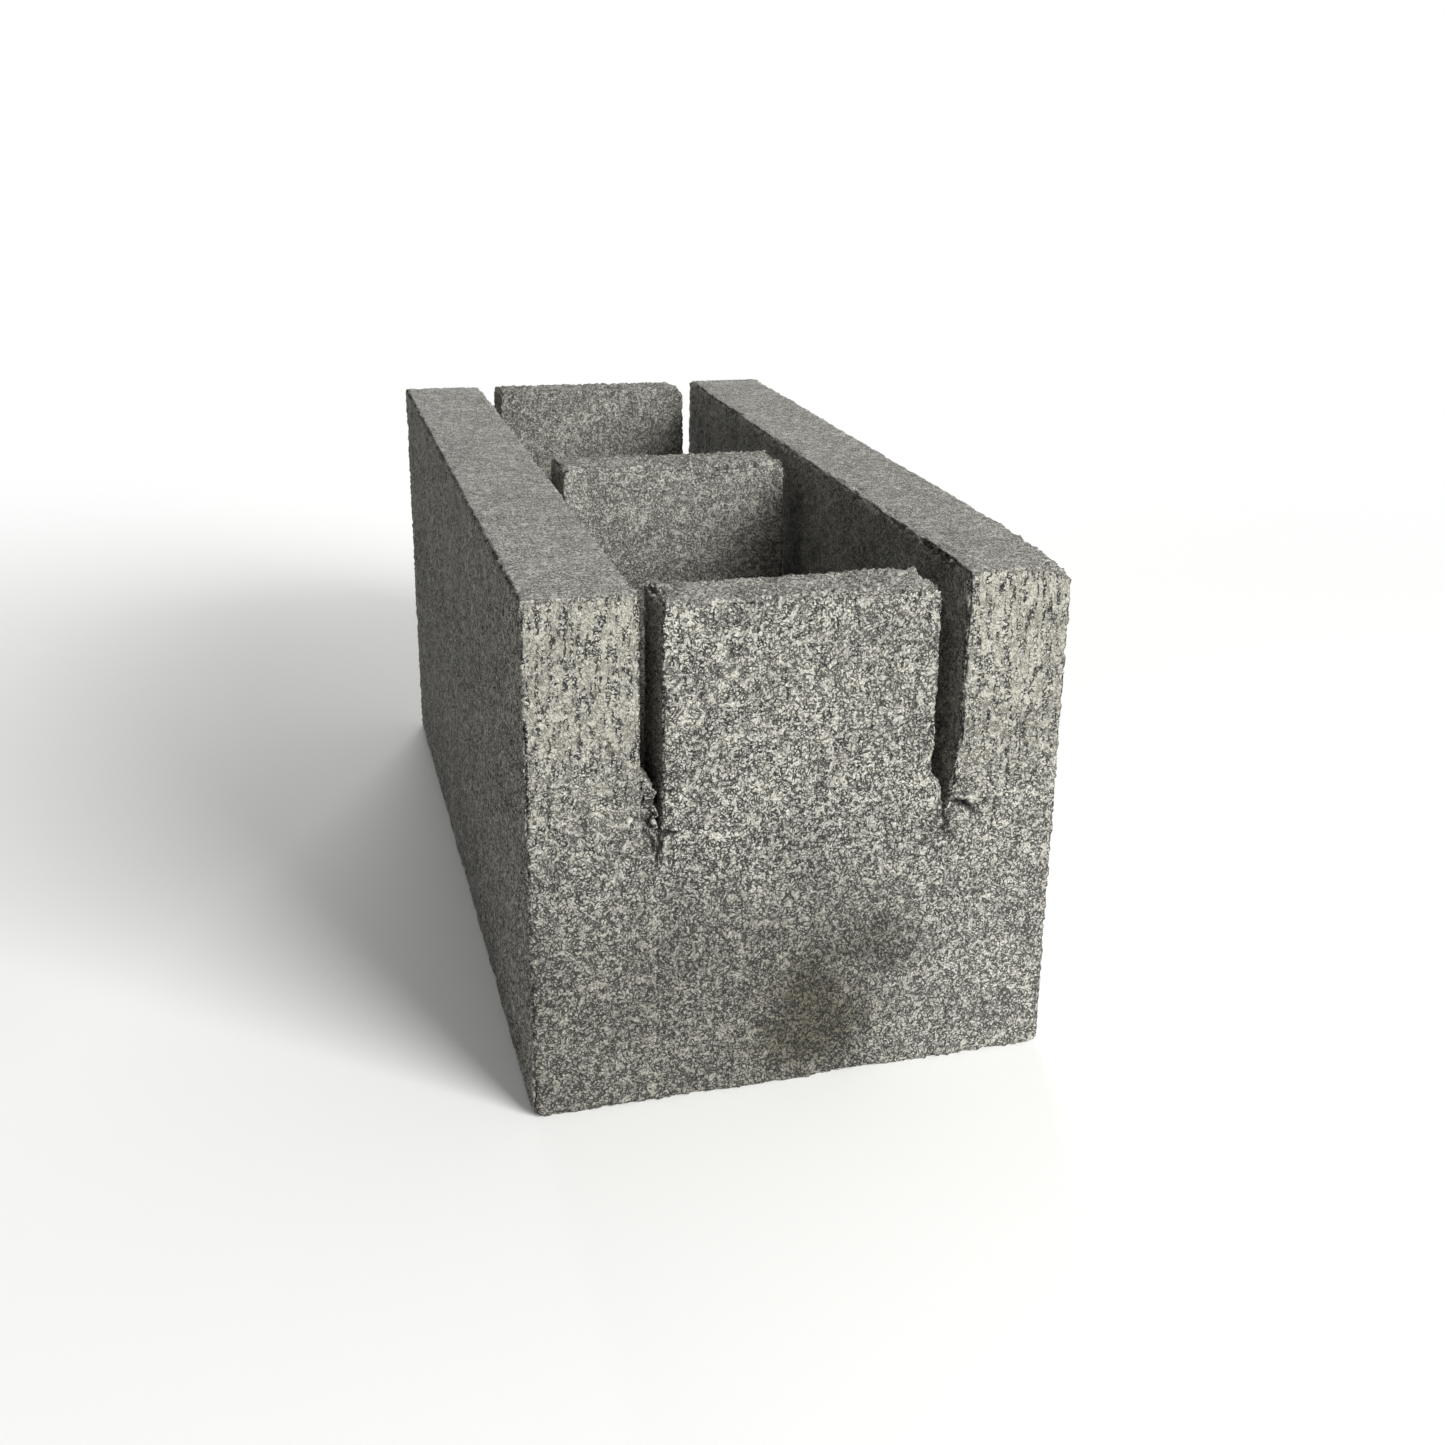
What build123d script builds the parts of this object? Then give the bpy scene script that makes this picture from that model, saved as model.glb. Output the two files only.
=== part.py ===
"""A knock-out bond-beam block: a hollow concrete masonry unit with two open cores.

The two face shells and the lower half of the three cross webs are one casting.  The upper half of
each web is a knock-out: a plate cast between two tapered slots, standing on the lower web, that the
mason breaks out to open a channel for a horizontal reinforcing bar.

Frame: millimetres, +Z up, the block standing on Z = 0, centred on X and Y.  X runs across the two
face shells, Y along the block, and the -Y end is the front.
"""

import os

from build123d import *

# Overall sizes
block_width = 194.0
block_length = 400.0
block_height = 190.5
end_corner_radius = 2.0

# Walls, at the top of the block where they are thinnest
shell_thickness = 39.5
web_thickness = 27.0
core_corner_radius = 16.0
core_draft = 0.4  # degrees, the walls thicken downwards

# Knock-outs and the slots beside them
break_height = 105.0  # the knock-outs stand on the lower webs here
slot_left = 7.4
slot_right = 9.6
slot_bite = 0.3  # a slot is cut this far into the face shell, past the core wall
slot_overrun = 30.0  # a slot's cut runs this far past its web, along the core wall
neck_rise = 18.0  # height of the tapered foot of a slot
tip_left = 6.2  # from the left slot's face to the middle of its tip
tip_right = 4.6
tip_gap = 1.5
knockout_corner = 5.0
front_drop = 4.0  # how far the top of each knock-out lies below the face shells
centre_drop = 0.5
rear_drop = 0.0

# Worked-out places
half_width = block_width / 2
half_length = block_length / 2
core_width = block_width - 2 * shell_thickness
core_length = (block_length - 3 * web_thickness) / 2
core_centre = (web_thickness + core_length) / 2
slot_face = half_width - shell_thickness + slot_bite
tip_left_centre = -slot_face + tip_left
tip_right_centre = slot_face - tip_right
knockout_left = -slot_face + slot_left
knockout_right = slot_face - slot_right
neck_height = break_height + neck_rise
web_reach = web_thickness / 2 + core_corner_radius

# Each web: its name, the Y of its middle, and how far its knock-out's top is down
webs = [
    ("front", -half_length + web_thickness / 2, front_drop),
    ("centre", 0.0, centre_drop),
    ("rear", half_length - web_thickness / 2, rear_drop),
]


def cut_cores():
    """Cut the two cores from the part being built: rounded rectangles drawn in by the draft."""
    with BuildSketch(Plane.XY.offset(block_height)) as mouths:
        with Locations((0, -core_centre), (0, core_centre)):
            RectangleRounded(core_width, core_length, core_corner_radius)
    extrude(mouths.sketch, amount=-block_height, taper=core_draft, mode=Mode.SUBTRACT)


def cut_channel(web_middle):
    """Cut one web away above the break, and the two slots' outer faces into the face shells."""
    reach = web_thickness / 2 + slot_overrun
    with BuildSketch(Plane.XZ.offset(-web_middle)) as profile:
        with BuildLine():
            Polyline(
                (tip_left_centre - tip_gap / 2, break_height),
                (tip_right_centre + tip_gap / 2, break_height),
                (slot_face, neck_height),
                (slot_face, block_height),
                (-slot_face, block_height),
                (-slot_face, neck_height),
                close=True,
            )
        make_face()
    extrude(profile.sketch, amount=reach, both=True, mode=Mode.SUBTRACT)


with BuildPart() as block_body:
    with BuildSketch():
        Rectangle(block_width, block_length)
    extrude(amount=block_height)
    fillet(block_body.edges().filter_by(Axis.Z), end_corner_radius)
    cut_cores()
    for _, web_middle, _ in webs:
        cut_channel(web_middle)


def make_knockout(web_middle, top_drop):
    """The upper half of a web: it fits between its slots and between the cores on either side."""
    top = block_height - top_drop
    with BuildPart() as knockout:
        with BuildSketch(Plane.XZ.offset(-web_middle)) as face:
            with BuildLine():
                Polyline(
                    (tip_left_centre + tip_gap / 2, break_height),
                    (tip_right_centre - tip_gap / 2, break_height),
                    (knockout_right, neck_height),
                    (knockout_right, top),
                    (knockout_left, top),
                    (knockout_left, neck_height),
                    close=True,
                )
            make_face()
            fillet(face.vertices().group_by(Axis.Y)[-1], knockout_corner)
        extrude(amount=web_reach, both=True)
        cut_cores()
        with BuildSketch():
            Rectangle(block_width, block_length)
        extrude(amount=block_height, mode=Mode.INTERSECT)
    return knockout


knockouts = {f"{name}_knockout": make_knockout(middle, drop) for name, middle, drop in webs}

os.makedirs("parts", exist_ok=True)
block_body.part.label = "block_body"
export_step(block_body.part, "parts/block_body.step")
for name, knockout in knockouts.items():
    knockout.part.label = name
    export_step(knockout.part, f"parts/{name}.step")
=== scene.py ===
import math

import bpy
import numpy as np
from mathutils import Matrix, Vector


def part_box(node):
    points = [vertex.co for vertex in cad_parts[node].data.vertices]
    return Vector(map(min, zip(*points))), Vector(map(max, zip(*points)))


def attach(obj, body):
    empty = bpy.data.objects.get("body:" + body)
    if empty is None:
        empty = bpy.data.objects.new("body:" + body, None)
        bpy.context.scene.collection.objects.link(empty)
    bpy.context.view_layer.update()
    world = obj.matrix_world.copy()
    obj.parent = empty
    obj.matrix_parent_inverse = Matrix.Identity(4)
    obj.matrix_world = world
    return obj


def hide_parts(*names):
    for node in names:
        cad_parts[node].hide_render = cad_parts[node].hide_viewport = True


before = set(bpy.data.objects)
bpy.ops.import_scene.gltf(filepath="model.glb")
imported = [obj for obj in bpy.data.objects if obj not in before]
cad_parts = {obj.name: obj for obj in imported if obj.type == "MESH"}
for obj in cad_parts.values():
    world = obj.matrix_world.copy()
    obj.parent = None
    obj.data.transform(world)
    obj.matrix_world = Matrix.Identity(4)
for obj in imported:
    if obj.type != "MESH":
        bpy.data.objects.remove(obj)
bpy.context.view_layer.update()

# A knock-out bond-beam block of dry-cast concrete.  The two face shells and the lower webs are one
# casting, and the three knock-outs stand on the lower webs.  Every skin below is a box lattice, two
# parameters to a side, bent by closed formulas.  Sizes are millimetres until a mesh is made.

MM = 1000.0  # millimetres in a metre
body_high = np.array(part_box("block_body")[1]) * MM
HALF_WIDTH = body_high[0]
HALF_LENGTH = body_high[1]
HEIGHT = body_high[2]

SHELL = 39.5  # face shell at its top
WEB = 27.0  # web at its top
CORE_RADIUS = 16.0
DRAFT = math.tan(math.radians(0.4))
BREAK = 105.0  # the knock-outs stand on the lower webs here
INNER = HALF_WIDTH - SHELL
WEB_MIDDLES = {
    "front": -HALF_LENGTH + WEB / 2,
    "centre": 0.0,
    "rear": HALF_LENGTH - WEB / 2,
}
# Each slot's outer side, as (height, distance from the middle), and each knock-out's two sides
LEFT_SLOT = ((0, 52.35), (105, 52.35), (109, 52.1), (116, 52.7), (124.5, 54.7), (127, 57.8))
RIGHT_SLOT = ((0, 53.95), (105, 53.95), (110, 54.4), (114, 56.0), (125, 56.3), (128, 57.8))
LEFT_SIDE = ((105, -51.1), (117, -50.7), (123, -50.4))
RIGHT_SIDE = ((105, 52.5), (111, 51.7), (113.5, 50.6), (116.5, 48.0), (121, 47.3), (127, 48.2))
WEB_ENDS = (-52.35, 53.95)
KNOCKOUT_REACH = 53.0  # no knock-out's top goes farther from the middle
BREAK_REACH = 54.5  # nor the broken face between the slots' tips


# ---- Noise -------------------------------------------------------------------------------------

def hashed(cells, seed):
    """A fixed number from 0 to 1 for each whole-number cell: its coordinates times large odd
    numbers, added, then stirred by shifts and products that keep the last 32 bits."""
    cells = cells.astype(np.uint64)
    keep = np.uint64(0xFFFFFFFF)
    mixed = cells[:, 0] * np.uint64(0x8DA6B343) + cells[:, 1] * np.uint64(0xD8163841)
    mixed = mixed + cells[:, 2] * np.uint64(0xCB1AB31F) + np.uint64(seed * 0x9E3779B1)
    mixed = mixed & keep
    for shift, factor in ((16, 0x7FEB352D), (15, 0x846CA68B)):
        mixed = ((mixed ^ (mixed >> np.uint64(shift))) * np.uint64(factor)) & keep
    return (mixed ^ (mixed >> np.uint64(16))) / 4294967296.0


def noise(points, size, seed):
    """Smooth noise from -1 to 1 with lumps of size mm: the eight numbers at a cell's corners,
    blended by 3t^2 - 2t^3 along each axis."""
    place = points / size
    cell = np.floor(place).astype(np.int64)
    blend = place - cell
    blend = blend * blend * (3 - 2 * blend)
    total = np.zeros(len(points))
    for corner in np.ndindex(2, 2, 2):
        weight = np.prod(np.where(corner, blend, 1 - blend), axis=1)
        total += weight * hashed(cell + np.array(corner), seed)
    return 2 * total - 1


def grains(points, size, seed):
    """One grain middle per cell, at a random place in it.  Gives the distance to the nearest
    middle, how much farther the next one is, both in grain sizes, and the grain's own number."""
    place = points / size
    cell = np.floor(place).astype(np.int64)
    near = np.full(len(points), 9.0)
    second = near.copy()
    own = np.zeros(len(points))
    for step in np.ndindex(3, 3, 3):
        other = cell + (np.array(step) - 1)
        middle = other + np.stack([hashed(other, seed + axis) for axis in range(3)], axis=1)
        gap = np.linalg.norm(place - middle, axis=1)
        closer = gap < near
        second = np.where(closer, near, np.minimum(second, gap))
        own = np.where(closer, hashed(other, seed + 3), own)
        near = np.where(closer, gap, near)
    return near, second - near, own


def ramp(value, low, high):
    """0 below low, 1 above high, and 3t^2 - 2t^3 between."""
    t = np.clip((value - low) / (high - low), 0, 1)
    return t * t * (3 - 2 * t)


# ---- Lattice -----------------------------------------------------------------------------------

def spaced(*stops):
    """Coordinates from (start, step), (start, step), ..., end: each stretch evenly divided."""
    runs = []
    for (start, step), following in zip(stops[:-1], stops[1:]):
        end = following[0] if isinstance(following, tuple) else following
        count = max(1, round((end - start) / step))
        runs.append(np.linspace(start, end, count, endpoint=False))
    return np.concatenate(runs + [np.array([stops[-1]], float)])


def box_skin(xs, ys, zs):
    """The closed skin of a box lattice: six grids of two parameters that share their edges.
    Gives points, quads that face outwards, each quad's side, and a UV rectangle per side."""
    counts = (len(xs), len(ys), len(zs))
    skin = np.zeros(counts, bool)
    skin[[0, -1]] = True
    skin[:, [0, -1]] = True
    skin[:, :, [0, -1]] = True
    index = np.full(counts, -1)
    index[skin] = np.arange(skin.sum())
    places = np.nonzero(skin)
    points = np.stack([axis[at] for axis, at in zip((xs, ys, zs), places)], axis=1).astype(float)
    lengths = [axis[-1] - axis[0] for axis in (xs, ys, zs)]
    rows = []
    for axis in range(3):
        first, last = [other for other in range(3) if other != axis]
        rows.append(min(lengths[first], lengths[last]))
    tops = np.concatenate([[0], np.cumsum(rows)]) / sum(rows)
    quads, sides, uvs = [], [], []
    for axis in range(3):
        first, last = [other for other in range(3) if other != axis]
        a, b = np.meshgrid(np.linspace(0, 1, counts[first]), np.linspace(0, 1, counts[last]),
                           indexing="ij")
        along, across = (a, b) if lengths[first] >= lengths[last] else (b, a)
        for end in (0, 1):
            grid = np.take(index, -end, axis=axis)
            sheet = np.stack([grid[:-1, :-1], grid[1:, :-1], grid[1:, 1:], grid[:-1, 1:]], axis=-1)
            u = 0.5 * end + 0.5 * (0.01 + 0.98 * along)
            v = tops[axis] + (tops[axis + 1] - tops[axis]) * (0.01 + 0.98 * across)
            uv = np.stack([u, v], axis=-1)
            map_ = np.stack([uv[:-1, :-1], uv[1:, :-1], uv[1:, 1:], uv[:-1, 1:]], axis=2)
            outward = (end == 1) != (axis == 1)
            if not outward:
                sheet = sheet[..., ::-1]
                map_ = map_[:, :, ::-1]
            quads.append(sheet.reshape(-1, 4))
            uvs.append(map_.reshape(-1, 4, 2))
            sides.append(np.full(len(quads[-1]), 2 * axis + end))
    return points, np.concatenate(quads), np.concatenate(sides), np.concatenate(uvs)


def ease(points, low, high, first, last, radii):
    """Rounds the four arrises along the third axis.  A point farther than the radius from an
    arris's inner line is brought back to it.  radii: low-low, low-high, high-low, high-high."""
    upper_first = points[:, first] > (low[first] + high[first]) / 2
    upper_last = points[:, last] > (low[last] + high[last]) / 2
    radius = np.where(upper_first, np.where(upper_last, radii[3], radii[2]),
                      np.where(upper_last, radii[1], radii[0]))
    line_first = np.clip(points[:, first], low[first] + radius, high[first] - radius)
    line_last = np.clip(points[:, last], low[last] + radius, high[last] - radius)
    out_first = points[:, first] - line_first
    out_last = points[:, last] - line_last
    reach = np.hypot(out_first, out_last)
    corner = (np.abs(out_first) > 1e-9) & (np.abs(out_last) > 1e-9)
    shrink = np.where(corner, np.minimum(1, radius / np.maximum(reach, 1e-9)), 1)
    points[:, first] = line_first + out_first * shrink
    points[:, last] = line_last + out_last * shrink


def face_normals(points, quads):
    """Half the cross product of each quad's diagonals: it points outwards, as long as its area."""
    across = points[quads[:, 2]] - points[quads[:, 0]]
    down = points[quads[:, 3]] - points[quads[:, 1]]
    return np.cross(across, down) / 2


def point_normals(points, quads):
    """Each point's outward direction: its quads' normals added up and brought to length 1."""
    normals = face_normals(points, quads)
    total = np.zeros_like(points)
    for corner in range(4):
        for axis in range(3):
            total[:, axis] += np.bincount(quads[:, corner], normals[:, axis], len(points))
    length = np.linalg.norm(total, axis=1)
    return total / np.maximum(length, 1e-9)[:, None]


# ---- The block's shape -------------------------------------------------------------------------

def inner_wall(y, z, profile):
    """How far a face shell's inner side is from the middle.  It is the core wall, drawn in by the
    draft and by the cores' rounded corners at each web, but no nearer than the slot's side."""
    heights, distances = zip(*profile)
    fillet = np.zeros(len(y))
    for middle in WEB_MIDDLES.values():
        past = np.abs(y - middle) - WEB / 2
        rise = CORE_RADIUS - np.clip(past, 0, CORE_RADIUS)
        curve = CORE_RADIUS - np.sqrt(np.maximum(CORE_RADIUS ** 2 - rise ** 2, 0))
        fillet = np.maximum(fillet, curve)
    core = INNER - DRAFT * (HEIGHT - z) - fillet
    return np.maximum(core, np.interp(z, heights, distances))


def fracture(x, y):
    """How far the broken face between a knock-out and its web lies off its level."""
    flat = np.stack([x, y, np.zeros(len(x))], axis=1)
    return 1.1 * noise(flat, 11.0, 31) + 0.5 * noise(flat, 3.5, 32)


def widen_web(points, middle):
    """A web thickens downwards by the draft, and towards the shells by the core's corner circle.
    Its outer face, at an end of the block, stays flat."""
    x, y, z = points.T
    past = np.clip(np.abs(x) - (INNER - CORE_RADIUS), 0, CORE_RADIUS)
    flare = CORE_RADIUS - np.sqrt(CORE_RADIUS ** 2 - past ** 2)
    share = np.clip((y - middle) / (WEB / 2), -1, 1)
    if middle < -1:
        share = np.maximum(share, 0)
    if middle > 1:
        share = np.minimum(share, 0)
    points[:, 1] += share * (flare + DRAFT * (HEIGHT - z))


# ---- Roughness ---------------------------------------------------------------------------------

# Cracks on the front face, as (x, z) lines, each with its depth and half its width
CRACKS = (
    (1.6, 0.8, ((-51.6, 105.4), (-49.0, 105.3), (-46.8, 104.7))),
    (1.0, 0.6, ((-51.6, 105.2), (-51.4, 101.0), (-52.5, 95.7))),
    (1.0, 0.7, ((-57.2, 106.5), (-54.5, 103.8), (-53.4, 99.0))),
    (1.0, 0.6, ((-51.1, 121.0), (-47.2, 120.3))),
    (1.0, 0.6, ((-51.0, 151.2), (-48.4, 150.2))),
    (2.0, 0.95, ((53.4, 106.9), (55.6, 106.1), (58.7, 104.4), (61.0, 103.4), (64.5, 100.7))),
    (1.0, 0.6, ((52.9, 106.0), (52.3, 101.0), (54.3, 97.5), (52.7, 94.5), (57.1, 91.6))),
)
# Pits on the front face: x, z, radius, depth
PITS = ((53.4, 106.9, 1.9, 3.0), (61.0, 103.4, 1.3, 1.6), (-53.6, 119.3, 1.4, 2.2))
# Chips: a point on the broken plane, then the way it faces
CHIPS = (
    ((84.0, -200.0, 190.5), (0.36, -0.2, 0.91)),
    ((97.0, -130.0, 190.5), (0.64, -0.04, 0.77)),
    ((-97.0, -200.0, 4.0), (-0.64, -0.42, -0.64)),
    ((97.0, -200.0, 2.4), (0.6, -0.5, -0.62)),
)


def line_distance(x, z, line):
    """Distance in the front plane to the nearest of a line's straight stretches."""
    nearest = np.full(len(x), 1e9)
    for (x0, z0), (x1, z1) in zip(line[:-1], line[1:]):
        run = (x1 - x0) ** 2 + (z1 - z0) ** 2
        t = np.clip(((x - x0) * (x1 - x0) + (z - z0) * (z1 - z0)) / run, 0, 1)
        nearest = np.minimum(nearest, np.hypot(x - x0 - t * (x1 - x0), z - z0 - t * (z1 - z0)))
    return nearest


def break_chips(points):
    """Brings a point that is outside a chip's plane back to it, with a grainy broken face."""
    rough = 0.5 * noise(points, 2.6, 41) + 0.5 * noise(points, 6.0, 42)
    moved = np.zeros(len(points))
    for place, facing in CHIPS:
        facing = np.array(facing) / np.linalg.norm(facing)
        near = np.abs(points[:, 1] - place[1]) < 75
        outside = (points - np.array(place)) @ facing + 0.9 * rough
        cut = np.where(near, np.maximum(outside, 0), 0)
        points -= cut[:, None] * facing
        moved = np.maximum(moved, np.minimum(cut, 1))
    return moved


def front_damage(points, facing):
    """How far the front face is broken away, and how much painted shade it gets there, in its
    cracks and pits.  The crumbly fill at the left slot's foot lies back from the face and gets
    painted shade too.  Each of the cracks and pits is a bell curve of the distance to it, times its
    depth."""
    x, _, z = points.T
    sunk = ramp(x, -58.6, -57.4) * ramp(-52.0 - x, 0, 0.8) * ramp(z, 104, 108) * ramp(128 - z, 0, 2)
    sunk = sunk * facing
    drop = sunk * (2.4 + 1.3 * noise(points, 2.3, 56))
    # Painted shade on the sunk fill, which lies back from the face
    dark = 0.34 * sunk * (1 + 0.8 * noise(points, 1.9, 57))
    wander = 0.5 * noise(points, 2.2, 55)
    for depth, half_width, line in CRACKS:
        far = line_distance(x + wander, z - wander, line)
        cut = np.exp(-(far / half_width) ** 2) * facing
        drop += depth * cut
        dark = np.maximum(dark, ramp(cut, 0.12, 0.55) * min(depth, 1.0))
    for pit_x, pit_z, radius, depth in PITS:
        cut = np.exp(-(np.hypot(x - pit_x, z - pit_z) / radius) ** 2) * facing
        drop += depth * cut
        dark = np.maximum(dark, ramp(cut, 0.15, 0.6))
    return drop, dark


def roughen(points, normals, worn):
    """Moves each point along its normal by the sum of: broad waves, grains that stand out by a
    dome each, gaps between grains, sparse pits, and on the cores' walls upright lines that the
    cores
    dragged.  Worn arrises lose whole grains, and the front face is cracked.  Gives, each from 0 to
    1:
    the painted shade in the hollows between grains and in pits, where the cores' walls are, which
    get painted shade, how open the skin is, and the painted shade in cracks, pits and the sunk
    fill."""
    x, y, z = points.T
    front = ramp(-normals[:, 1], 0.6, 0.9) * (y < -HALF_LENGTH + 6)
    facing = ramp(-normals[:, 1], 0.1, 0.5) * (y < -HALF_LENGTH + 6)
    top = ramp(np.abs(normals[:, 2]), 0.6, 0.9)
    inside = np.abs(x) < INNER + 2
    walls = inside * (1 - front) * (1 - top) * (np.abs(y) < HALF_LENGTH - 3)
    near, gap, own = grains(points, 2.7, 11)
    fine_near, fine_gap, _ = grains(points, 1.6, 21)
    broad = noise(points, 26.0, 51)
    patch = ramp(noise(points, 9.0, 52), -0.5, 0.5)
    open_gaps = np.exp(-(gap / 0.15) ** 2) * (0.25 + 0.75 * patch)
    fine_gaps = np.exp(-(fine_gap / 0.2) ** 2) * ramp(noise(points, 4.0, 53), -0.3, 0.4)
    pits = ramp(own, 0.93, 0.97) * ramp(0.55 - near, 0, 0.35)
    upright = noise(points * np.array([1, 1, 0.1]), 1.6, 54)
    height = 0.16 * broad + 0.34 * (0.5 - near) * (0.4 + own) + 0.26 * (0.5 - fine_near)
    height += -0.5 * open_gaps - 0.3 * fine_gaps - 0.8 * pits
    # Nothing pressed the knock-outs' tops flat, and the slots' walls tore as their blades came out
    ragged = top * (np.abs(x) < KNOCKOUT_REACH) * (z > BREAK)
    torn = walls * ramp(-y, 145, 170) * ramp(z, BREAK, BREAK + 8)
    pressed = top * (1 - ragged)
    amount = 1 - 0.4 * pressed + 0.9 * ragged + 0.8 * torn - 0.05 * walls
    amount -= 0.25 * ramp(BREAK - z, 0, 30) * front
    lost = ramp(own, 0.55, 0.75) * ramp(worn, 0.15, 0.7)
    height = height * amount * (1 + 1.3 * worn) + 0.18 * upright * walls - 1.6 * lost
    height += worn * 0.95 * (0.45 - fine_near)
    # Calmer beside the break, so that the two pieces' shading agrees across it
    on_break = np.exp(-((z - BREAK - fracture(x, y)) / 0.9) ** 2) * (np.abs(x) < BREAK_REACH)
    height *= 1 - 0.6 * on_break
    # Painted shade in the hollows between grains and in pits, less on the tops
    hollow_shade = np.clip(0.6 * open_gaps + 0.4 * fine_gaps + pits, 0, 1) * (1 - 0.6 * top)
    drop, shaded_cracks = front_damage(points, facing)
    height -= drop
    points += normals * height[:, None]
    skin = 1 - 0.35 * top - 0.35 * walls - 0.12 * ramp(BREAK - z, 0, 40)
    return hollow_shade, walls, skin, shaded_cracks


def paste_amount(points, normals):
    """Where the mould smeared wet paste up the outer faces: most near the top of the shells'
    ends, less on the long sides and the knock-outs, none on the tops or inside."""
    x, y, z = points.T
    shells = ramp(np.abs(x), INNER - 4, INNER)
    ends = ramp(np.abs(normals[:, 1]), 0.5, 0.9) * (np.abs(y) > HALF_LENGTH - 6)
    long_sides = ramp(np.abs(normals[:, 0]), 0.5, 0.9) * (np.abs(x) > HALF_WIDTH - 4)
    height = ramp(z, 60, 175)
    return np.clip((ends * (0.3 + 0.6 * shells) + 0.35 * long_sides) * height, 0, 1)


def stain_and_shade_amount(points, normals):
    """A damp patch low on the front, in two joined ovals with a ragged edge, and a weaker darkening
    over the front's lower left, partly dirt and partly painted shade where the light falls off."""
    x, y, z = points.T
    front = ramp(-normals[:, 1], 0.3, 0.8) * (y < -HALF_LENGTH + 6)
    ragged = 0.42 * noise(points, 13.0, 61) + 0.25 * noise(points, 4.5, 62)
    core = ramp(1.75 - np.hypot((x - 6) / 18, (z - 27) / 21) + ragged, 0, 2.0)
    lobe = ramp(1.6 - np.hypot((x - 36) / 16, (z - 53) / 13) + ragged, 0, 1.9)
    # Darker towards the lower left: partly dirt, partly painted shade where the light falls off
    lower_left = ramp(112 - z, 0, 60) * ramp(60 - x, 0, 50)
    patches = 1 - (1 - core) * (1 - 0.6 * lobe)
    return front * np.clip(0.5 * lower_left + 0.9 * patches, 0, 1)


# ---- Making a piece ----------------------------------------------------------------------------

def make_mesh(name, points, quads, uvs, attributes, smooth, material):
    """smooth is one truth value per quad.  A flat quad's edges stay sharp, which hides joints."""
    mesh = bpy.data.meshes.new(name)
    mesh.vertices.add(len(points))
    mesh.vertices.foreach_set("co", (points / MM).ravel())
    mesh.loops.add(quads.size)
    mesh.loops.foreach_set("vertex_index", quads.ravel())
    mesh.polygons.add(len(quads))
    mesh.polygons.foreach_set("loop_start", np.arange(0, quads.size, 4))
    mesh.update(calc_edges=True)
    mesh.uv_layers.new(name="OFBake").data.foreach_set("uv", uvs.ravel())
    for label, values in attributes.items():
        mesh.attributes.new(label, "FLOAT", "POINT").data.foreach_set("value", values)
    mesh.polygons.foreach_set("use_smooth", smooth)
    mesh.materials.append(material)
    mesh.validate()
    piece = bpy.data.objects.new(name, mesh)
    bpy.context.scene.collection.objects.link(piece)
    return piece


def make_piece(name, axes, bend, hidden, belongs, material):
    """A box skin, its arrises rounded and its shape bent by bend, then chipped and roughened.
    hidden says which quads butt against another piece, and so don't turn the normals.
    belongs is the body it rides on, the node it stands for and its material slot, which is not
    used."""
    points, quads, sides, uvs = box_skin(*axes)
    worn = bend(points)
    middles = points[quads].mean(axis=1)
    shown = ~hidden(sides, middles)
    chipped = break_chips(points)
    normals = point_normals(points, quads[shown])
    stain_and_shade = stain_and_shade_amount(points, normals)
    hollow_shade, walls, skin, shaded_cracks = roughen(points, normals, np.maximum(worn, chipped))
    # The hollows, the cores' walls, the cracks and the sunk fill carry painted shade, and the damp
    # patch's attribute also carries some over the front's lower left
    attributes = {"hollow_shade": hollow_shade, "core_wall_shade": walls, "stain_and_shade": stain_and_shade, "open_skin": skin,
                  "paste": paste_amount(points, normals), "crack_shade": shaded_cracks}
    piece = make_mesh(name, points, quads, uvs, attributes, shown, material)
    body, node, slot = belongs
    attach(piece, body)
    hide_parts(node)
    return piece


def in_a_web(y):
    """1 where a lower web meets the shells, 0 elsewhere."""
    inside = np.zeros(len(y))
    for middle in WEB_MIDDLES.values():
        inside = np.maximum(inside, np.abs(y - middle) < WEB / 2 + 4.4)
    return inside


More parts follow.
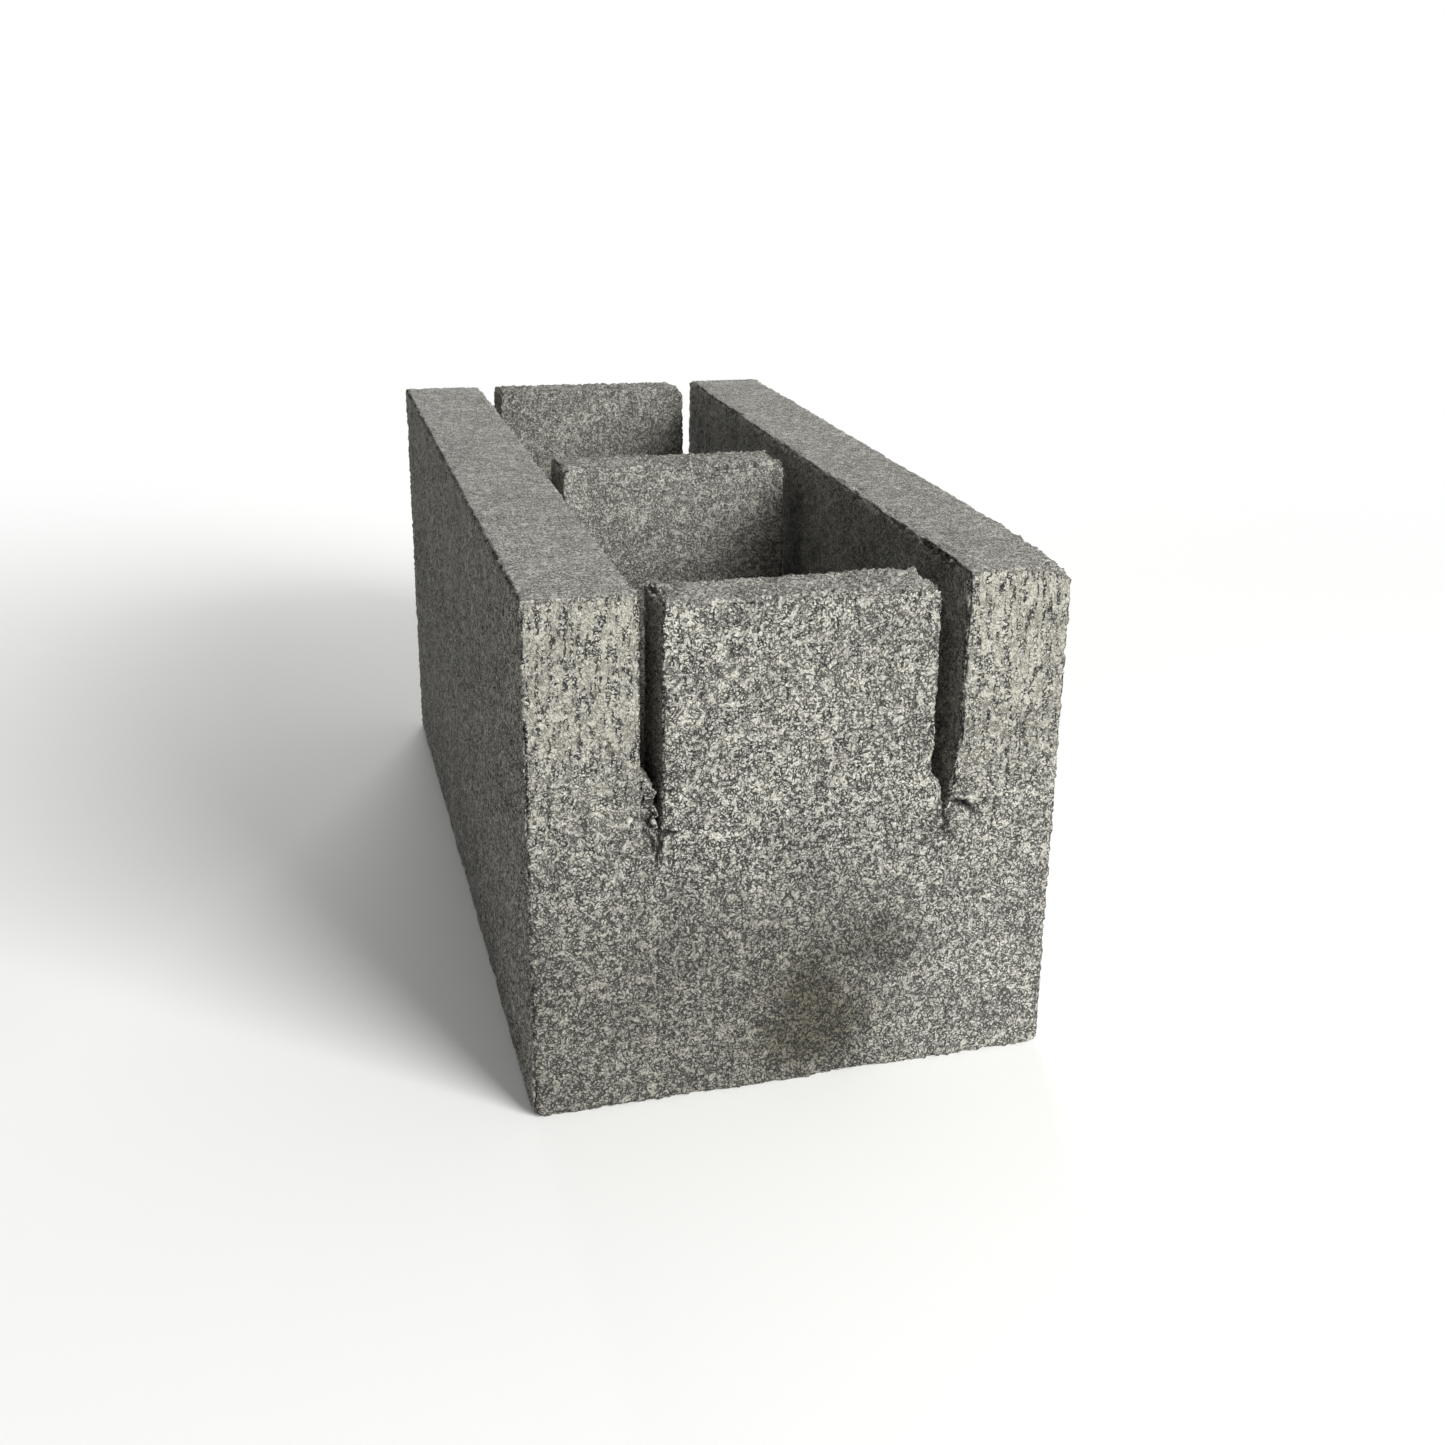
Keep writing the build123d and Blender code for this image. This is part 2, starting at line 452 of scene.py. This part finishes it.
def make_shell(name, side, material):
    """A whole face shell: finest at the front end, at the slots' feet and along its inner side."""
    profile = LEFT_SLOT if side < 0 else RIGHT_SLOT
    outer, inner = side * HALF_WIDTH, side * INNER
    low = np.array([min(outer, inner), -HALF_LENGTH, 0.0])
    high = np.array([max(outer, inner), HALF_LENGTH, HEIGHT])
    xs = side * spaced((INNER, 0.5), (INNER + 7, 0.95), HALF_WIDTH)
    xs = xs if side > 0 else xs[::-1]
    ys = spaced((-HALF_LENGTH, 0.9), (-160.0, 2.1), (-60.0, 2.8), HALF_LENGTH)
    zs = spaced((0.0, 1.3), (98.0, 0.75), (129.0, 1.25), HEIGHT)

    def bend(points):
        """Eases the arrises.  Then each point moves in by its share of the way from the outer
        face to the inner one, times how far the inner wall lies in from its plane there."""
        before = points.copy()
        free = ramp(points[:, 2], BREAK - 1, BREAK + 3)
        crumb = 1 + 0.5 * noise(points, 9.0, 71) + 0.3 * noise(points, 3.0, 72)
        outer_round = 1.5 * crumb
        inner_round = 1.6 * crumb * free
        front_pair = (inner_round, outer_round) if side > 0 else (outer_round, inner_round)
        upright = [edge for edge in front_pair for _ in range(2)]
        ease(points, low, high, 0, 1, upright)
        bottom, crest = 1.6 * crumb, 1.5 * crumb
        lumps = ramp(noise(points, 7.0, 77), 0.0, 0.7)
        lumps += 0.6 * ramp(noise(points, 3.0, 78), 0.1, 0.8)
        # The right shell's inner arris is most broken near the front, and at one place behind it
        near_end = ramp(-points[:, 1], 140, 175) + 0.8 * ramp(14 - np.abs(points[:, 1] + 75), 0, 8)
        broken = 1.6 + 1.6 * near_end if side > 0 else 0.5
        inner_crest = crest * (1.2 + broken * lumps)
        inner_bottom = bottom * (1 - in_a_web(points[:, 1]))
        along = (inner_bottom, inner_crest, bottom, crest)
        if side < 0:
            along = (bottom, crest, inner_bottom, inner_crest)
        ease(points, low, high, 0, 2, along)
        ease(points, low, high, 1, 2, (bottom, crest, bottom, crest))
        worn = np.clip(np.linalg.norm(points - before, axis=1) / 0.8, 0, 1)
        share = (HALF_WIDTH - np.abs(points[:, 0])) / SHELL
        reach = INNER - inner_wall(points[:, 1], points[:, 2], profile)
        foot = ramp(points[:, 2], 103, 108) * (1 - ramp(points[:, 2], 122, 132))
        crumbs = 1.1 * noise(points, 3.4, 75) + 0.9 * noise(points, 1.7, 76)
        reach += foot * crumbs
        points[:, 0] -= side * share * reach
        return worn

    def hidden(sides, middles):
        """The inner side, where a lower web meets it."""
        wall = sides == (0 if side > 0 else 1)
        return wall & (in_a_web(middles[:, 1]) > 0.5) & (middles[:, 2] < BREAK)

    return make_piece(name, (xs, ys, zs), bend, hidden, ("block", "block_body", "concrete"),
                      material)


def web_rows(middle):
    """The rows through a web's thickness, the same for its two halves so that they match."""
    return spaced((middle - WEB / 2, 0.85), middle + WEB / 2)


def make_web(where, material):
    """The lower half of a web, with a rough broken top and a short tenon into each shell."""
    middle = WEB_MIDDLES[where]
    left, right = WEB_ENDS
    across = spaced((left, 0.6), (LEFT_SIDE[0][1], 0.5), (-46.0, 0.86), (52.5, 0.5), right)
    xs = np.concatenate([[left - 1.5], across, [right + 1.5]])
    ys = web_rows(middle)
    zs = spaced((0.0, 0.85), (92.0, 0.6), BREAK)
    low = np.array([xs[0], ys[0], 0.0])
    high = np.array([xs[-1], ys[-1], BREAK])

    def bend(points):
        """Eases the arrises and thickens the web.  The height of the broken face is added in full
        at the top and fades out 10 mm below, and a tenon is 0.85 of the section."""
        tenon = (points[:, 0] < left - 0.1) | (points[:, 0] > right + 0.1)
        crumb = 1 + 0.5 * noise(points, 9.0, 71) + 0.3 * noise(points, 3.0, 72)
        before = points.copy()
        ease(points, low, high, 1, 2, (1.6 * crumb, 0 * crumb, 1.6 * crumb, 0 * crumb))
        worn = np.clip(np.linalg.norm(points - before, axis=1) / 0.8, 0, 1)
        widen_web(points, middle)
        lift = fracture(points[:, 0], points[:, 1])
        points[:, 2] += lift * ramp(points[:, 2], BREAK - 10, BREAK)
        centre = np.array([0, middle, BREAK / 2])
        points[tenon, 1:] = centre[1:] + (points[tenon, 1:] - centre[1:]) * 0.85
        return worn

    def hidden(sides, middles):
        """The broken top, the two ends and the tenons."""
        buried = (middles[:, 0] < left) | (middles[:, 0] > right)
        return (sides == 5) | (sides < 2) | buried

    return make_piece(f"{where}_lower_web", (xs, ys, zs), bend, hidden,
                      ("block", "block_body", "concrete"), material)


def make_knockout(where, material):
    """The upper half of a web, between its slots, on the same broken face as the web below."""
    middle = WEB_MIDDLES[where]
    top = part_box(f"{where}_knockout")[1][2] * MM
    left, right = LEFT_SIDE[0][1], RIGHT_SIDE[0][1]
    xs = spaced((left, 0.5), (-46.0, 0.86), right)
    ys = web_rows(middle)
    zs = spaced((BREAK, 0.6), (129.0, 0.82), top)
    low = np.array([xs[0], ys[0], BREAK])
    high = np.array([xs[-1], ys[-1], top])

    def bend(points):
        """Eases the arrises.  Each point keeps its share of the way across, between the two
        sides' profiles at its height.  The height of the broken face is added in full at the
        bottom and fades out 10 mm above."""
        before = points.copy()
        crumb = 1 + 0.55 * noise(points, 8.0, 73) + 0.35 * noise(points, 2.8, 74)
        none = 0 * crumb
        rise = ramp(points[:, 2], BREAK, BREAK + 4)
        upright = 1.3 * crumb * rise
        ease(points, low, high, 0, 1, (upright, upright, upright, upright))
        ease(points, low, high, 0, 2, (none, 3.4 * crumb, none, 4.6 * crumb))
        ease(points, low, high, 1, 2, (none, 3.6 * crumb, none, 2.8 * crumb))
        worn = np.clip(np.linalg.norm(points - before, axis=1) / 1.2, 0, 1)
        share = (points[:, 0] - left) / (right - left)
        sides = [np.interp(points[:, 2], *zip(*profile)) for profile in (LEFT_SIDE, RIGHT_SIDE)]
        points[:, 0] = sides[0] + share * (sides[1] - sides[0])
        widen_web(points, middle)
        lift = fracture(points[:, 0], points[:, 1])
        points[:, 2] += lift * (1 - ramp(points[:, 2], BREAK, BREAK + 10))
        return worn

    def hidden(sides, middles):
        """The broken bottom."""
        return sides == 4

    return make_piece(f"{where}_knockout_web", (xs, ys, zs), bend, hidden,
                      (f"{where}_web_knockout", f"{where}_knockout", "knockout_concrete"),
                      material)


# ---- Materials ---------------------------------------------------------------------------------

def linear(code):
    """An sRGB hex colour as linear red, green, blue and a full alpha."""
    values = [int(code[i:i + 2], 16) / 255 for i in (1, 3, 5)]
    return [v / 12.92 if v <= 0.04045 else ((v + 0.055) / 1.055) ** 2.4 for v in values] + [1.0]


def add(tree, kind, inputs=None, out=0, stops=(), **settings):
    """Adds a node and gives its output of that number or name.  inputs gives each input another
    node's output, a number or a hex colour.  stops are a ramp's (place, hex colour) pairs."""
    node = tree.nodes.new(kind)
    for label, value in settings.items():
        setattr(node, label, value)
    for label, value in (inputs or {}).items():
        if isinstance(value, bpy.types.NodeSocket):
            tree.links.new(value, node.inputs[label])
        else:
            node.inputs[label].default_value = linear(value) if isinstance(value, str) else value
    if stops:
        while len(node.color_ramp.elements) < len(stops):
            node.color_ramp.elements.new(0.5)
        for element, (place, code) in zip(node.color_ramp.elements, stops):
            element.position = place
            element.color = linear(code)
    return node.outputs[out] if len(node.outputs) else node


def dry_cast_concrete(name, tone):
    """Dry-cast concrete: sand grains in grey cement paste, packed but hardly wet, so the skin is
    open and grainy.  To the eye it is matt, with pale grains, near-black gaps between them, and
    pale upright smears where the mould dragged the paste.  tone moves the whole colour a little."""
    material = bpy.data.materials.new(name)
    material.use_nodes = True
    tree = material.node_tree
    tree.nodes.clear()
    place = add(tree, "ShaderNodeTexCoord", out="Object")
    drawn = add(tree, "ShaderNodeMapping", {"Vector": place, "Scale": (1.0, 1.0, 0.2)})

    # Each noise: its lumps in mm, its detail and roughness, and whether it is drawn out upright
    noises = {}
    for label, size, detail, rough, vector in (
            ("grit", 0.8, 3.0, 0.78, place),
            ("sand", 2.4, 1.0, 0.5, place),
            ("short", 1.9, 0.0, 0.5, place),
            ("ground", 1.5, 1.0, 0.5, place),
            ("patch", 4.0, 2.0, 0.5, place),
            ("cloud", 30.0, 4.0, 0.5, place),
            ("smear", 2.1, 3.0, 0.6, drawn)):
        noises[label] = add(tree, "ShaderNodeTexNoise", {
            "Vector": vector, "Scale": MM / size, "Detail": detail, "Roughness": rough})

    tint = tone - 1.125
    for label, share in (("grit", 2.65), ("sand", 0.35), ("cloud", 0.34)):
        tint = add(tree, "ShaderNodeMath", {0: noises[label], 1: share, 2: tint},
                   operation="MULTIPLY_ADD")
    shade = add(tree, "ShaderNodeValToRGB", {0: tint}, stops=(
        (0.08, "#3f3e3a"), (0.3, "#7c7a74"), (0.52, "#a9a79e"), (0.86, "#dcd9ce")))

    # A few whole sand grains of 2.3 mm show pale
    pale = add(tree, "ShaderNodeTexVoronoi", {"Vector": place, "Scale": MM / 2.3})
    grain = add(tree, "ShaderNodeMapRange", {0: pale, 1: 0.12, 2: 0.3, 3: 0.35, 4: 0.0},
                interpolation_type="SMOOTHSTEP")
    shade = add(tree, "ShaderNodeMix", {0: grain, 6: shade, 7: "#ccc9bd"}, 2, data_type="RGBA")

    # Paste smears hide the grains under them
    smeared = add(tree, "ShaderNodeMapRange", {0: noises["smear"], 1: 0.44, 2: 0.52, 4: 0.75},
                  interpolation_type="SMOOTHSTEP")
    paste = add(tree, "ShaderNodeAttribute", out="Fac", attribute_name="paste")
    pasted = add(tree, "ShaderNodeMath", {0: smeared, 1: paste}, operation="MULTIPLY")
    shade = add(tree, "ShaderNodeMix", {0: pasted, 6: shade, 7: "#bfbcad"}, 2, data_type="RGBA")

    # Painted shade in the crevices between grains, in two sizes: short lines where one noise is
    # near a half, cut into stretches by another, fewer where the skin is closed or smeared over
    gaps = 0.0
    for line, width, opening, low, high in (("sand", 0.068, "short", 0.42, 0.52),
                                            ("ground", 0.09, "patch", 0.37, 0.51)):
        off = add(tree, "ShaderNodeMath", {0: noises[line], 1: 0.5}, operation="SUBTRACT")
        off = add(tree, "ShaderNodeMath", {0: off}, operation="ABSOLUTE")
        near = add(tree, "ShaderNodeMapRange", {0: off, 1: width * 0.2, 2: width, 3: 1.0, 4: 0.0},
                   interpolation_type="SMOOTHSTEP")
        cut = add(tree, "ShaderNodeMapRange", {0: noises[opening], 1: low, 2: high},
                  interpolation_type="SMOOTHSTEP")
        near = add(tree, "ShaderNodeMath", {0: near, 1: cut}, operation="MULTIPLY")
        gaps = add(tree, "ShaderNodeMath", {0: near, 1: gaps}, operation="MAXIMUM")
    skin = add(tree, "ShaderNodeAttribute", out="Fac", attribute_name="open_skin")
    clean = add(tree, "ShaderNodeMath", {0: pasted, 1: -0.9, 2: 1.0}, operation="MULTIPLY_ADD")
    for share in (skin, clean):
        gaps = add(tree, "ShaderNodeMath", {0: gaps, 1: share}, operation="MULTIPLY")
    shade = add(tree, "ShaderNodeMix", {0: gaps, 6: shade, 7: "#262523"}, 2, data_type="RGBA")

    # Painted shade in the hollows and in the cracks, pits and sunk fill, painted shade on the walls
    # inside the cores, and the damp patch, which also holds painted shade over the front's lower
    # left
    for label, amount, blend, code in (("hollow_shade", 0.5, "MIX", "#3c3a37"),
                                       ("crack_shade", 0.96, "MIX", "#121110"),
                                       ("core_wall_shade", 0.14, "MULTIPLY", "#8b8c88"),
                                       ("stain_and_shade", 0.85, "MULTIPLY", "#68634f")):
        share = add(tree, "ShaderNodeAttribute", out="Fac", attribute_name=label)
        share = add(tree, "ShaderNodeMath", {0: share, 1: amount}, operation="MULTIPLY")
        shade = add(tree, "ShaderNodeMix", {0: share, 6: shade, 7: code}, 2, data_type="RGBA",
                    blend_type=blend)

    relief = add(tree, "ShaderNodeMath", {0: noises["grit"], 1: 1.3}, operation="MULTIPLY")
    relief = add(tree, "ShaderNodeMath", {0: gaps, 1: -1.0, 2: relief}, operation="MULTIPLY_ADD")
    bump = add(tree, "ShaderNodeBump", {"Height": relief, "Strength": 0.9, "Distance": 0.0009})
    shader = add(tree, "ShaderNodeBsdfPrincipled", {
        "Base Color": shade, "Normal": bump, "Roughness": 0.93, "IOR": 1.5})
    add(tree, "ShaderNodeOutputMaterial", {"Surface": shader})
    return material


def white_paper():
    """Matt white paper: an even pale sheet that fades out with distance into the surround."""
    material = bpy.data.materials.new("matt white paper")
    material.use_nodes = True
    tree = material.node_tree
    tree.nodes.clear()
    place = add(tree, "ShaderNodeTexCoord", out="Object")
    far = add(tree, "ShaderNodeVectorMath", {0: place}, "Value", operation="LENGTH")
    fade = add(tree, "ShaderNodeMapRange", {0: far, 1: FLOOR_FADE[0], 2: FLOOR_FADE[1]},
               interpolation_type="SMOOTHSTEP")
    paper = add(tree, "ShaderNodeBsdfPrincipled", {"Base Color": "#f6f6f4", "Roughness": 0.9})
    clear = add(tree, "ShaderNodeBsdfTransparent")
    mixed = add(tree, "ShaderNodeMixShader", {0: fade, 1: paper, 2: clear})
    add(tree, "ShaderNodeOutputMaterial", {"Surface": mixed})
    return material


# ---- Camera, floor and light -------------------------------------------------------------------

CAMERA_PLACE = (-0.1691, -0.7081, 0.3465)
CAMERA_TURN = (17.89, 18.26, 1.39)  # degrees right of +Y, down, and rolled
CAMERA_LENS = 41.74  # mm, on a sensor 36 mm wide
CAMERA_SHIFT = (-0.0498, -0.0562)
FLOOR_RADIUS = 2.0
FLOOR_FADE = (0.35, 1.1)  # the floor fades out between these distances from the middle


def set_camera():
    """Looks towards heading degrees right of +Y, down by pitch, and rolled a little."""
    heading, pitch, roll = (math.radians(v) for v in CAMERA_TURN)
    forward = Vector((math.sin(heading) * math.cos(pitch), math.cos(heading) * math.cos(pitch),
                      -math.sin(pitch)))
    level = Vector((math.cos(heading), -math.sin(heading), 0))
    rise = level.cross(forward)
    right = level * math.cos(roll) + rise * math.sin(roll)
    up = rise * math.cos(roll) - level * math.sin(roll)
    data = bpy.data.cameras.new("camera")
    data.sensor_width = 36.0
    data.lens = CAMERA_LENS
    data.shift_x, data.shift_y = CAMERA_SHIFT
    camera = bpy.data.objects.new("camera", data)
    turn = Matrix((right, up, -forward)).transposed().to_4x4()
    camera.matrix_world = Matrix.Translation(CAMERA_PLACE) @ turn
    bpy.context.scene.collection.objects.link(camera)
    bpy.context.scene.camera = camera


def make_floor():
    """A round sheet of matt white paper that fades out into the white surround."""
    mesh = bpy.data.meshes.new("floor")
    turn = np.linspace(0, 2 * math.pi, 96, endpoint=False)
    rim = [(FLOOR_RADIUS * math.cos(t), FLOOR_RADIUS * math.sin(t), 0.0) for t in turn]
    mesh.from_pydata(rim, [], [list(range(len(rim)))])
    floor = bpy.data.objects.new("floor", mesh)
    mesh.materials.append(white_paper())
    bpy.context.scene.collection.objects.link(floor)


def add_light(name, place, aim, size, power):
    """A square softbox at place that faces aim, with its size in metres and power in watts."""
    data = bpy.data.lights.new(name, "AREA")
    data.shape = "SQUARE"
    data.size = size
    data.energy = power
    light = bpy.data.objects.new(name, data)
    light.location = place
    towards = Vector(aim) - Vector(place)
    light.rotation_euler = towards.to_track_quat("-Z", "Y").to_euler()
    bpy.context.scene.collection.objects.link(light)


def set_world(strength, seen):
    """A plain white surround: it lights the block at strength, and shows at the level seen."""
    world = bpy.data.worlds.new("soft white studio")
    world.use_nodes = True
    tree = world.node_tree
    tree.nodes.clear()
    straight = add(tree, "ShaderNodeLightPath", out="Is Camera Ray")
    lit = add(tree, "ShaderNodeBackground", {"Color": "#ffffff", "Strength": strength})
    shown = add(tree, "ShaderNodeBackground", {"Color": "#ffffff", "Strength": seen})
    mixed = add(tree, "ShaderNodeMixShader", {0: straight, 1: lit, 2: shown})
    add(tree, "ShaderNodeOutputWorld", {"Surface": mixed})
    bpy.context.scene.world = world


# ---- The scene ---------------------------------------------------------------------------------

set_camera()
make_floor()
set_world(0.3, 1.0)
add_light("front softbox", (1.0, -1.83, 1.0), (0, -0.1, 0.1), 1.1, 76)
add_light("rear softbox", (0.35, 2.3, 0.42), (0, 0.1, 0.1), 1.2, 60)
bpy.context.scene.view_settings.view_transform = "Standard"

concrete = dry_cast_concrete("dry-cast concrete", 0.0)
knockout_concrete = dry_cast_concrete("crumbly dry-cast concrete", 0.03)

for side, word in ((-1, "left"), (1, "right")):
    make_shell(f"{word}_shell", side, concrete)
for where in WEB_MIDDLES:
    make_web(where, concrete)
    make_knockout(where, knockout_concrete)
